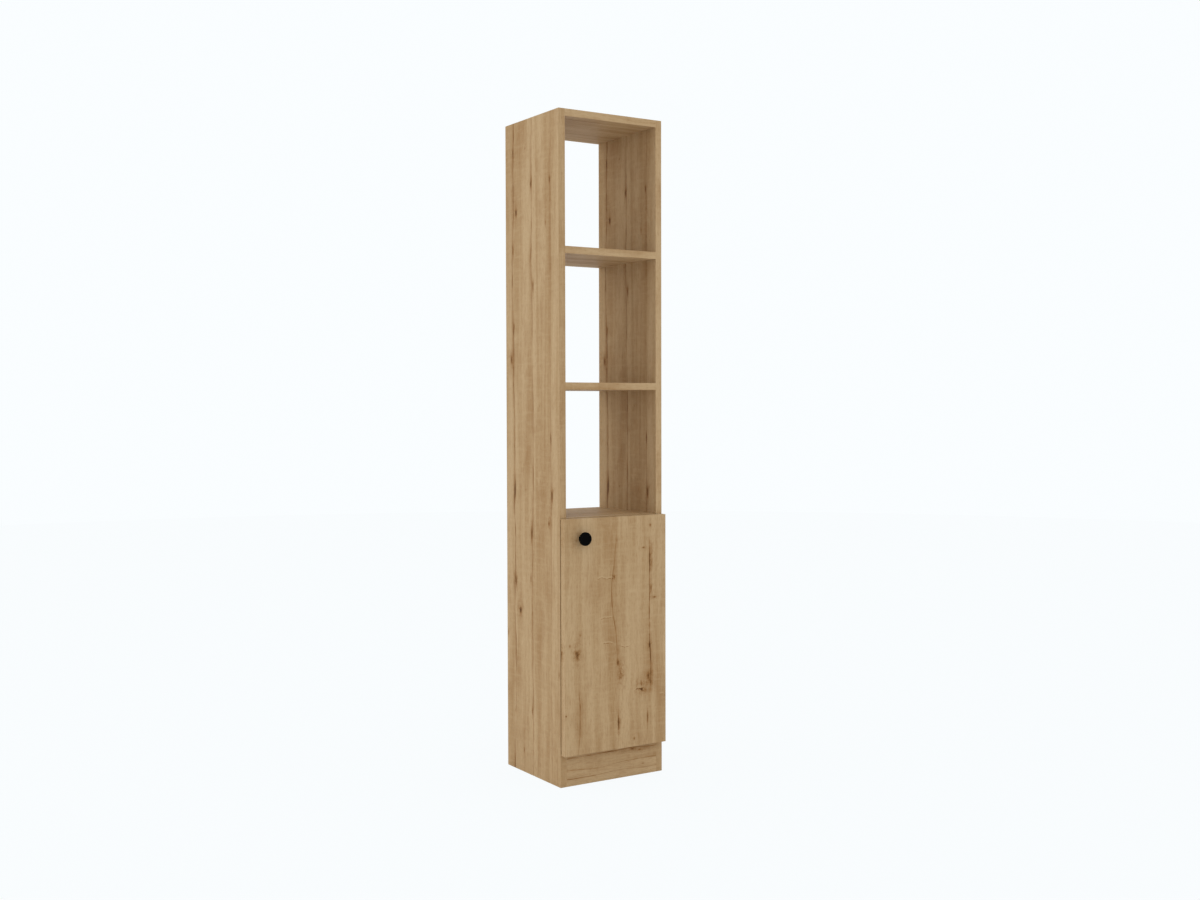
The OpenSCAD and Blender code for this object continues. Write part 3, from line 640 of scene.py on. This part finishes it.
# Chipboard: flakes per metre, noises of dust and pits as cells per metre, detail and roughness, the pits'
# edge, the shares of dust and pits in the colour, the tones, the roughness and what dust adds to it
FLAKES, DUST, PITS, PIT_RAMP = 620.0, (900.0, 3.0, 0.6), (420.0, 3.0, 0.55), (0.62, 0.72)
DUST_SHARE, PIT_SHARE = 0.4, 0.75
PALE_CHIP, BROWN_CHIP = (0.52, 0.37, 0.21, 1.0), (0.36, 0.23, 0.115, 1.0)
DUST_TONE, PIT_TONE = (0.60, 0.46, 0.29, 1.0), (0.13, 0.075, 0.035, 1.0)
CHIP_ROUGH, DUST_ROUGH = 0.75, 0.2


def build_chipboard():
    """Pressed chips with pale and dark flakes and small open pits, for board edges that carry no edging."""
    wire, given, out = new_group("Chipboard", {"Point": PLACE}, FINISH)
    flakes = wire.add("ShaderNodeTexVoronoi", feature="F1")
    wire.put(flakes.inputs["Vector"], given["Point"])
    wire.put(flakes.inputs["Scale"], FLAKES)
    shade = wire.parts(flakes.outputs["Color"])[0]
    dust = wire.noise(given["Point"], *DUST)
    pits = wire.ramp(wire.noise(given["Point"], *PITS), *PIT_RAMP)
    colour = wire.mix(shade, PALE_CHIP, BROWN_CHIP)
    colour = wire.mix(wire.times(dust, DUST_SHARE), colour, DUST_TONE)
    wire.put(out["Color"], wire.mix(wire.times(pits, PIT_SHARE), colour, PIT_TONE))
    wire.put(out["Roughness"], wire.plus(CHIP_ROUGH, wire.times(dust, DUST_ROUGH)))
    wire.put(out["Height"], wire.minus(dust, pits))


# Plated steel: noises of the drawn lines, clouding and specks as cells per metre, detail and roughness, their
# edges, their shares in the colour, and what lines and clouding add to the roughness
DRAWN, CLOUDING, SPECKS = (1.0, 3.0, 0.6), (140.0, 4.0, 0.6), (1500.0, 2.0, 0.5)
CLOUDING_RAMP, SPECK_RAMP = (0.40, 0.75), (0.62, 0.70)
CLOUDING_SHARE, SPECK_SHARE = 0.5, 0.25
DRAWN_ROUGH, CLOUDING_ROUGH = 0.16, 0.08


def build_plated():
    """Fine drawn lines, cloudiness and rub marks of plated sheet steel."""
    inputs = {"Point": PLACE, "Draw": PLACE, "Base": TINT, "Dull": TINT, "Rough": VALUE}
    wire, given, out = new_group("Plated finish", inputs, FINISH)
    drawn = wire.noise(wire.vector_maths("MULTIPLY", given["Point"], given["Draw"]), *DRAWN)
    cloud = wire.noise(given["Point"], *CLOUDING)
    specks = wire.ramp(wire.noise(given["Point"], *SPECKS), *SPECK_RAMP)
    dulled = wire.times(wire.ramp(cloud, *CLOUDING_RAMP), CLOUDING_SHARE)
    colour = wire.mix(dulled, given["Base"], given["Dull"])
    wire.put(out["Color"], wire.mix(wire.times(specks, SPECK_SHARE), colour, given["Dull"]))
    rough = wire.plus(given["Rough"], wire.times(wire.centred(drawn), DRAWN_ROUGH))
    wire.put(out["Roughness"], wire.plus(rough, wire.times(cloud, CLOUDING_ROUGH), clamp=True))
    wire.put(out["Height"], drawn)


# Moulded skins: detail and roughness of the peel's noise, noise of handling marks as cells per metre, detail
# and roughness, its edge and share in the colour, and what marks and peel add to the roughness
PEEL, TOUCH = (3.0, 0.5), (60.0, 4.0, 0.65)
TOUCH_RAMP, TOUCH_SHARE = (0.45, 0.80), 0.6
TOUCH_ROUGH, PEEL_ROUGH = 0.18, 0.05


def build_moulded():
    """The faint orange peel and handling marks of a lacquered or moulded surface."""
    inputs = {"Point": PLACE, "Base": TINT, "Lift": TINT, "Rough": VALUE, "Grain size": VALUE}
    wire, given, out = new_group("Moulded skin", inputs, FINISH)
    peel = wire.noise(given["Point"], given["Grain size"], *PEEL)
    touch = wire.noise(given["Point"], *TOUCH)
    handled = wire.times(wire.ramp(touch, *TOUCH_RAMP), TOUCH_SHARE)
    wire.put(out["Color"], wire.mix(handled, given["Base"], given["Lift"]))
    rough = wire.plus(given["Rough"], wire.times(wire.centred(touch), TOUCH_ROUGH))
    wire.put(out["Roughness"], wire.plus(rough, wire.times(peel, PEEL_ROUGH), clamp=True))
    wire.put(out["Height"], peel)


FINISHES = (
    build_board_face,
    build_knot,
    build_seam,
    build_cloud,
    build_check,
    build_oak,
    build_relief,
    build_chipboard,
    build_plated,
    build_moulded,
)
# Noise that tears knots and cracks, and noise and ramp that tear clouds
RAGGED, TORN, TORN_RAMP = (240.0, 3.0, 0.65), (75.0, 4.0, 0.65), (0.34, 0.68, 0.15, 1.0)
# Gloss of the decor's film
OAK_GLOSS = 0.07


def bare_tree(owner):
    """Clears the nodes of a material or a world and returns its wiring helper."""
    owner.use_nodes = True
    owner.node_tree.nodes.clear()
    return Tree(owner.node_tree)


def new_material(name):
    """A material with a bare Principled shader, its wiring helper and its coordinates."""
    material = bpy.data.materials.new(name)
    wire = bare_tree(material)
    shader = wire.add("ShaderNodeBsdfPrincipled")
    wire.put(wire.add("ShaderNodeOutputMaterial").inputs["Surface"], shader.outputs[0])
    return material, wire, shader, wire.add("ShaderNodeTexCoord").outputs


def finish_surface(wire, shader, surface, depth):
    """Wires a finish's colour, roughness and relief into the shader."""
    wire.put(shader.inputs["Base Color"], surface["Color"])
    wire.put(shader.inputs["Roughness"], surface["Roughness"])
    bump = wire.add("ShaderNodeBump")
    wire.put(bump.inputs["Distance"], depth)
    wire.put(bump.inputs["Height"], surface["Height"])
    wire.put(shader.inputs["Normal"], bump.outputs[0])


def two_finishes(wire, share, first, second):
    """Colour, roughness and relief of one finish where share is 0 and of another where it is 1."""
    kinds = {"Color": "RGBA", "Roughness": "FLOAT", "Height": "FLOAT"}
    return {part: wire.mix(share, first[part], second[part], kind) for part, kind in kinds.items()}


def raw_share(wire, facing, rear, under):
    """1 on a board's rear edge or underside, where its core shows, and 0 elsewhere."""
    _, y, z = wire.parts(facing)
    share = wire.times(wire.maths("GREATER_THAN", y, FACING), float(rear))
    below = wire.times(wire.maths("LESS_THAN", z, -FACING), float(under))
    return wire.maths("MAXIMUM", share, below)


def spot(across, along, width, length, depth):
    """A knot's or a cloud's values by the names of their sockets."""
    return {"Centre": (across, along, 0.0), "Width": width, "Length": length, "Depth": depth}


def oak(name, level=False, knots=(), seams=(), checks=(), clouds=(), shift=(0.0, 0.0), raw=(False, False)):
    """Oak decor with its knots and clouds as (across, along, width, length, depth), seams and checks.

    raw says whether the board's core shows on its rear edge and on its underside.
    """
    settings = bpy.context.scene.cabinet_oak
    material, wire, shader, place = new_material(name)
    point, facing = place["Object"], place["Normal"]
    unrolled = {"Point": point, "Facing": facing, "Level": float(level), "Shift": (*shift, 0.0)}
    grain = use_group(wire, "Board face", **unrolled)["Grain"]
    relief = use_group(wire, "Pressed pores", Grain=grain)["Height"]
    tone = 0.0
    ragged = wire.noise(grain, *RAGGED, "2D") if knots or checks else None
    for seam in seams:
        values = dict(zip(("Place", "Wander", "Width", "Depth", "Bulge", "Span"), seam))
        tone = use_group(wire, "Oak seam", Grain=grain, Tone=tone, **values)["Tone"]
    for start, end, height in checks:
        values = {"Start": start, "End": end, "Height": height, "Ragged": ragged}
        tone = use_group(wire, "Cross check", Grain=grain, Tone=tone, **values)["Tone"]
    torn = wire.ramp(wire.noise(grain, *TORN, "2D"), *TORN_RAMP) if clouds else None
    for cloud in clouds:
        tone = use_group(wire, "Oak cloud", Grain=grain, Tone=tone, Torn=torn, **spot(*cloud))["Tone"]
    for knot in knots:
        pushed = use_group(wire, "Oak knot", Grain=grain, Tone=tone, Ragged=ragged, **spot(*knot))
        grain, tone = pushed["Grain"], pushed["Tone"]
    woods = ("Light", "Middle", "Dark", "Heart")
    tones = {wood: opaque(getattr(settings, wood.lower())) for wood in woods}
    decor = use_group(wire, "Knotty oak", Grain=grain, Tone=tone, **tones)
    surface = {"Color": decor["Color"], "Roughness": decor["Roughness"], "Height": relief}
    if any(raw):
        core = use_group(wire, "Chipboard", Point=point)
        surface = two_finishes(wire, raw_share(wire, facing, *raw), surface, core)
    finish_surface(wire, shader, surface, settings.relief)
    wire.put(shader.inputs["Specular IOR Level"], OAK_GLOSS)
    return material


def plated(name):
    base, dull, rough, draw = METALS[name]
    material, wire, shader, place = new_material(name)
    values = {"Draw": draw, "Base": opaque(base), "Dull": opaque(dull), "Rough": rough}
    surface = use_group(wire, "Plated finish", Point=place["Object"], **values)
    finish_surface(wire, shader, surface, FINE_RELIEF)
    wire.put(shader.inputs["Metallic"], 1.0)
    return material


def skin(wire, point, base, lift, rough, grain_size):
    """Colour, roughness and relief of a moulded or fibrous skin."""
    values = {"Base": opaque(base), "Lift": opaque(lift), "Rough": rough, "Grain size": grain_size}
    return use_group(wire, "Moulded skin", Point=point, **values)


def moulded(name, values, depth=FINE_RELIEF):
    material, wire, shader, place = new_material(name)
    finish_surface(wire, shader, skin(wire, place["Object"], *values), depth)
    return material, shader


def clear_selection():
    for item in bpy.context.selected_objects:
        item.select_set(False)


def dress(material, *names):
    """Gives CAD nodes their finish."""
    for name in names:
        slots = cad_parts[name].data.materials
        slots.clear()
        slots.append(material)


class CABINET_OT_finishes(bpy.types.Operator):
    """Build the shader groups that the finishes share"""

    bl_idname = "cabinet.finishes"
    bl_label = "Build finishes"

    def execute(self, context):
        for build in FINISHES:
            build()
        return {"FINISHED"}


class CABINET_OT_sides(bpy.types.Operator):
    """Dress the two sides and their front edging"""

    bl_idname = "cabinet.sides"
    bl_label = "Dress sides"

    def execute(self, context):
        tables = {"knots": SIDE_KNOTS, "seams": SIDE_SEAMS, "clouds": SIDE_CLOUDS}
        marks = {kind: [(SIDE_REAR - inset, *rest) for inset, *rest in rows] for kind, rows in tables.items()}
        dress(oak("oak_sides", **marks, raw=(True, True)), "left_side", "right_side")
        dress(oak("oak_side_edging", shift=SIDE_EDGING_SHIFT), "side_edging")
        return {"FINISHED"}


class CABINET_OT_shelves(bpy.types.Operator):
    """Dress the top panel, the shelves and their edging"""

    bl_idname = "cabinet.shelves"
    bl_label = "Dress shelves"

    def execute(self, context):
        boards = ("top_panel", "upper_shelf", "lower_shelf", "cupboard_top", "cupboard_floor", "inner_shelf")
        for number, name in enumerate(boards):
            shift = tuple(step * number for step in BOARD_STEP)
            seams = [(place + shift[0] + SEAM_START, *rest) for place, *rest in LEVEL_SEAMS]
            dress(oak("oak_" + name, level=True, seams=seams, shift=shift, raw=(True, False)), name)
        edging = oak("oak_shelf_edging", level=True, shift=SHELF_EDGING_SHIFT)
        dress(edging, "top_edging", "shelf_edging", "cupboard_edging", "inner_shelf_edging")
        return {"FINISHED"}


class CABINET_OT_door(bpy.types.Operator):
    """Dress the door, its edging and bumpers"""

    bl_idname = "cabinet.door"
    bl_label = "Dress door"

    def execute(self, context):
        left, top = DOOR_LOW.x, DOOR_HIGH.z
        knots = [(left + inset, top - drop, *rest) for inset, drop, *rest in DOOR_KNOTS]
        seams = [
            (left + inset, *rest, (top - drop, reach, size), (top - low, top - high, soft))
            for inset, *rest, (drop, reach, size), (low, high, soft) in DOOR_SEAMS
        ]
        checks = [(left + start, left + end, top - drop) for start, end, drop in DOOR_CHECKS]
        # The door's clouds, with the knob's painted shadow among them
        clouds = [(left + inset, top - drop, *rest) for inset, drop, *rest in DOOR_CLOUDS_AND_KNOB_SHADOW]
        door = oak("oak_door", knots=knots, seams=seams, checks=checks, clouds=clouds)
        dress(door, "door_panel", "door_edging")
        bumper, shader = moulded("bumper_gel", BUMPER_GEL)
        shader.inputs["Transmission Weight"].default_value = GEL_CLARITY
        shader.inputs["IOR"].default_value = GEL_BEND
        dress(bumper, "door_bumpers")
        return {"FINISHED"}


class CABINET_OT_plinth(bpy.types.Operator):
    """Dress the plinth and the cupboard's back"""

    bl_idname = "cabinet.plinth"
    bl_label = "Dress plinth"

    def execute(self, context):
        marks = {"knots": PLINTH_KNOTS, "seams": PLINTH_SEAMS, "clouds": PLINTH_CLOUDS}
        dress(oak("oak_plinth", level=True, **marks, raw=(False, True)), "plinth")
        dress(self.hardboard(), "cupboard_back")
        return {"FINISHED"}

    def hardboard(self):
        """Smooth white in front, bare brown fibre behind and on the edges."""
        material, wire, shader, place = new_material("hardboard")
        front = skin(wire, place["Object"], *WHITE_FRONT)
        rear = skin(wire, place["Object"], *BROWN_REAR)
        share = wire.maths("GREATER_THAN", wire.parts(place["Normal"])[1], -FACING)
        finish_surface(wire, shader, two_finishes(wire, share, front, rear), FIBROUS_RELIEF)
        return material


class CABINET_OT_knob(bpy.types.Operator):
    """Turn the knob and finish it"""

    bl_idname = "cabinet.knob"
    bl_label = "Turn knob"

    def execute(self, context):
        settings = context.scene.cabinet_knob
        knob = self.turn(settings)
        handled = [part * HANDLED for part in settings.black]
        lacquer, shader = moulded("satin_black", (settings.black, handled, LACQUER_ROUGH, LACQUER_GRAIN))
        shader.inputs["Specular IOR Level"].default_value = LACQUER_GLOSS
        knob.data.materials.append(lacquer)
        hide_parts("knob")
        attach(knob, "door")
        return {"FINISHED"}

    def turn(self, settings):
        """Draws the knob out of a disc on the door's face, ring by ring, and rounds its edges."""
        middle = (KNOB_LOW + KNOB_HIGH) / 2
        head = (KNOB_HIGH.x - KNOB_LOW.x) / 2
        foot, neck, dish = head * settings.foot, head * settings.neck, head * settings.dish
        reach = KNOB_HIGH.y - KNOB_LOW.y
        under, rim = reach - settings.rim - settings.flare, reach - settings.rim
        clear_selection()
        bpy.ops.mesh.primitive_circle_add(
            vertices=KNOB_CORNERS,
            radius=foot,
            fill_type="NGON",
            location=(middle.x, KNOB_HIGH.y, middle.z),
            rotation=(math.pi / 2, 0.0, 0.0),
        )
        knob = bpy.context.object
        knob.name = "turned_knob"
        bpy.ops.object.transform_apply(location=True, rotation=True)
        bpy.ops.object.mode_set(mode="EDIT")
        bpy.ops.mesh.select_all(action="SELECT")
        steps = (
            (settings.foot_step, foot),
            (settings.foot_step, neck),
            (under, neck),
            (rim, head),
            (reach, head),
            (reach, dish),
            (reach - settings.dish_depth, dish * DISH_TAPER),
        )
        here, size = 0.0, foot
        for depth, radius in steps:
            bpy.ops.mesh.extrude_region_move(TRANSFORM_OT_translate={"value": (0.0, here - depth, 0.0)})
            centre = (middle.x, KNOB_HIGH.y - depth, middle.z)
            share = radius / size
            bpy.ops.transform.resize(value=(share, 1.0, share), center_override=centre)
            here, size = depth, radius
        bpy.ops.mesh.select_all(action="SELECT")
        bpy.ops.mesh.remove_doubles(threshold=MERGE)
        bpy.ops.mesh.normals_make_consistent(inside=False)
        bpy.ops.object.mode_set(mode="OBJECT")
        rounding = knob.modifiers.new("rounding", "BEVEL")
        rounding.width = settings.edge_round
        rounding.segments = ROUND_SEGMENTS
        rounding.limit_method = "ANGLE"
        rounding.angle_limit = ROUND_ANGLE
        bpy.ops.object.modifier_apply(modifier="rounding")
        bpy.ops.object.shade_smooth_by_angle(angle=SHARP_ANGLE)
        return knob


class CABINET_OT_hardware(bpy.types.Operator):
    """Dress the hinges, pins, cams, bolts, dowels and brackets"""

    bl_idname = "cabinet.hardware"
    bl_label = "Dress hardware"

    def execute(self, context):
        hinges = [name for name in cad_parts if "hinge" in name or "link" in name]
        dress(plated("nickel_plate"), "shelf_pins", "cam_bolts", "knob_screw", *hinges)
        dress(plated("zinc_casting"), "cam_locks")
        dress(plated("zinc_plate"), "wall_brackets", "wall_bracket_screws")
        dress(moulded("beech", BEECH, FIBROUS_RELIEF)[0], "dowels")
        return {"FINISHED"}


def backdrop(name, tone):
    """A plain bright tone to the camera that still takes the object's shadow."""
    material = bpy.data.materials.new(name)
    wire = bare_tree(material)
    diffuse = wire.add("ShaderNodeBsdfDiffuse")
    wire.put(diffuse.inputs["Color"], opaque(FLOOR_TONE))
    glow = wire.add("ShaderNodeEmission")
    wire.put(glow.inputs["Color"], opaque(tone))
    both = wire.mix_shaders(wire.times(wire.seen_directly(), FLOOR_GLOW), diffuse, glow)
    wire.put(wire.add("ShaderNodeOutputMaterial").inputs["Surface"], both)
    return material


def area_lamp(name, place, power):
    data = bpy.data.lights.new(name, "AREA")
    data.shape = "DISK"
    data.size = LAMP_SIZE
    data.energy = power
    lamp = bpy.data.objects.new(name, data)
    bpy.context.scene.collection.objects.link(lamp)
    lamp.location = place
    lamp.rotation_euler = (Vector(LAMP_AIM) - Vector(place)).to_track_quat("-Z", "Y").to_euler()


class CABINET_OT_stage(bpy.types.Operator):
    """Set up the floor, the even studio light and the camera"""

    bl_idname = "cabinet.stage"
    bl_label = "Set up studio"

    def execute(self, context):
        studio = context.scene.cabinet_studio
        clear_selection()
        bpy.ops.mesh.primitive_circle_add(
            vertices=FLOOR_CORNERS, radius=FLOOR_RADIUS, fill_type="NGON", location=(0.0, 0.0, -FLOOR_DROP)
        )
        floor = context.object
        floor.name = "floor"
        bpy.ops.object.transform_apply(location=True)
        floor.data.materials.append(backdrop("pale_floor", studio.white))
        self.light(context.scene, studio)
        self.camera(context.scene, studio)
        return {"FINISHED"}

    def light(self, scene, studio):
        area_lamp("left_lamp", LEFT_LAMP, studio.left_lamp)
        area_lamp("front_lamp", FRONT_LAMP, studio.front_lamp)
        scene.world = bpy.data.worlds.new("studio")
        wire = bare_tree(scene.world)
        around, seen = wire.add("ShaderNodeBackground"), wire.add("ShaderNodeBackground")
        wire.put(around.inputs["Color"], opaque(WHITE))
        wire.put(around.inputs["Strength"], studio.ambient)
        wire.put(seen.inputs["Color"], opaque(studio.white))
        both = wire.mix_shaders(wire.seen_directly(), around, seen)
        wire.put(wire.add("ShaderNodeOutputWorld").inputs["Surface"], both)
        scene.view_settings.view_transform = "Standard"

    def camera(self, scene, studio):
        data = bpy.data.cameras.new("camera")
        data.sensor_fit = "HORIZONTAL"
        data.sensor_width = SENSOR_WIDTH
        data.lens = studio.lens
        camera = bpy.data.objects.new("camera", data)
        scene.collection.objects.link(camera)
        yaw, pitch, roll = studio.yaw, studio.pitch, studio.roll
        forward = Vector((math.sin(yaw) * math.cos(pitch), math.cos(yaw) * math.cos(pitch), math.sin(pitch)))
        right = Vector((math.cos(yaw), -math.sin(yaw), 0.0))
        up = right.cross(forward)
        level, tilt = math.cos(roll), math.sin(roll)
        columns = (level * right + tilt * up, level * up - tilt * right, -forward)
        turn = Matrix(columns).transposed().to_4x4()
        camera.matrix_world = Matrix.Translation(Vector(studio.place)) @ turn
        scene.camera = camera


class CABINET_PT_panel(bpy.types.Panel):
    """Lists the cabinet's settings and steps"""

    bl_label = "Bathroom cabinet"
    bl_idname = "CABINET_PT_panel"
    bl_space_type = "VIEW_3D"
    bl_region_type = "UI"
    bl_category = "Cabinet"

    def draw(self, context):
        scene = context.scene
        for settings in (scene.cabinet_oak, scene.cabinet_knob, scene.cabinet_studio):
            for name in settings.__annotations__:
                self.layout.prop(settings, name)
        for step in STEPS:
            self.layout.operator(step.bl_idname)


STEPS = (
    CABINET_OT_finishes,
    CABINET_OT_sides,
    CABINET_OT_shelves,
    CABINET_OT_door,
    CABINET_OT_plinth,
    CABINET_OT_knob,
    CABINET_OT_hardware,
    CABINET_OT_stage,
)
CLASSES = (OakSettings, KnobSettings, StudioSettings, *STEPS, CABINET_PT_panel)


def register():
    for item in CLASSES:
        bpy.utils.register_class(item)
    bpy.types.Scene.cabinet_oak = PointerProperty(type=OakSettings)
    bpy.types.Scene.cabinet_knob = PointerProperty(type=KnobSettings)
    bpy.types.Scene.cabinet_studio = PointerProperty(type=StudioSettings)


def unregister():
    del bpy.types.Scene.cabinet_oak
    del bpy.types.Scene.cabinet_knob
    del bpy.types.Scene.cabinet_studio
    for item in reversed(CLASSES):
        bpy.utils.unregister_class(item)


def main():
    register()
    bpy.ops.cabinet.finishes()
    bpy.ops.cabinet.sides()
    bpy.ops.cabinet.shelves()
    bpy.ops.cabinet.door()
    bpy.ops.cabinet.plinth()
    bpy.ops.cabinet.knob()
    bpy.ops.cabinet.hardware()
    bpy.ops.cabinet.stage()


if __name__ == "__main__":
    main()
